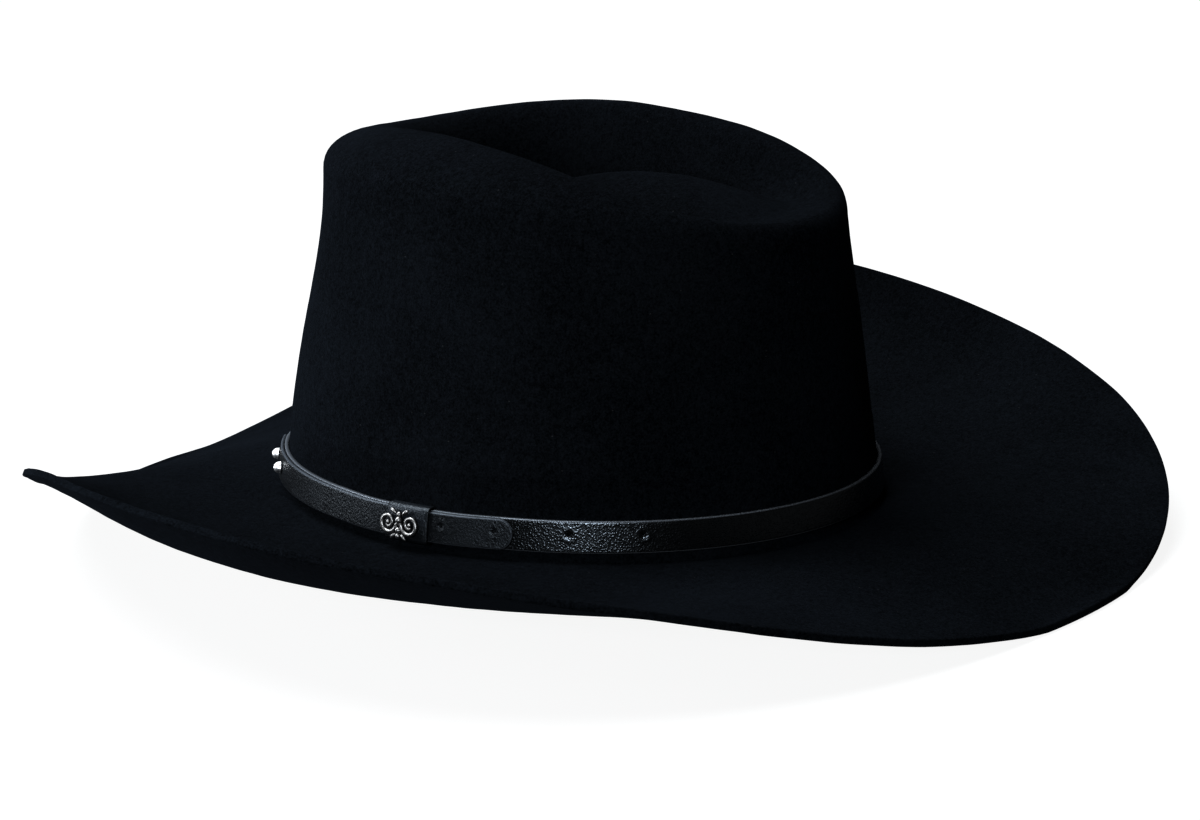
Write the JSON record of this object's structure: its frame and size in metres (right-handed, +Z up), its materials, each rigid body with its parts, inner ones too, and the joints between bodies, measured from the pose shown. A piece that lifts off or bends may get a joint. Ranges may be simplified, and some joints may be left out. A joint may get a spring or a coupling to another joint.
{
  "type": "cowboy hat",
  "caption": "Wide-brimmed felt hat with a teardrop-dented crown, a narrow leather hatband with keeper and studs, a leather sweatband and a lining.",
  "frame": {"origin": "on the ground, under the middle of the bounding box; the hat stands on the lowest points of its brim at front and back", "axes": "+X to the wearer's left, +Y to the back of the hat, +Z up out of the crown"},
  "size_m": [0.357, 0.3719, 0.1358],
  "materials": {
    "felt": "brushed fur felt, matt with a short nap",
    "grained_leather": "fine pebbled grain, satin",
    "smooth_leather": "smooth satin",
    "antique_silver": "cast, darkened in the hollows",
    "bright_nickel": "polished",
    "sweatband_leather": "soft matt",
    "ribbon": "grosgrain",
    "satin": "satin weave",
    "reed": "matt"
  },
  "bodies": {
    "hat": {"felt_body": "felt", "sweatband": "sweatband_leather", "sweatband_reed": "reed", "sweatband_seam_tape": "ribbon", "sweatband_bow": "ribbon", "lining_side": "satin", "lining_tip": "satin"},
    "hatband": {"hatband_strap": "grained_leather", "hatband_billet": "smooth_leather", "stud_front": "bright_nickel", "stud_rear": "bright_nickel"},
    "keeper": {"keeper_loop": "smooth_leather", "keeper_ornament": "antique_silver"}
  },
  "joints": [
    {"name": "hatband_lift", "type": "slide", "parent": "hat", "child": "hatband", "axis": [0, 0, 1], "range_m": [0, 0.13]},
    {"name": "keeper_slide", "type": "hinge", "parent": "hatband", "child": "keeper", "pos_m": [-0.037, 0.0027, 0.0257], "axis": [0, 0, 1], "range_deg": [-3, 3]}
  ]
}
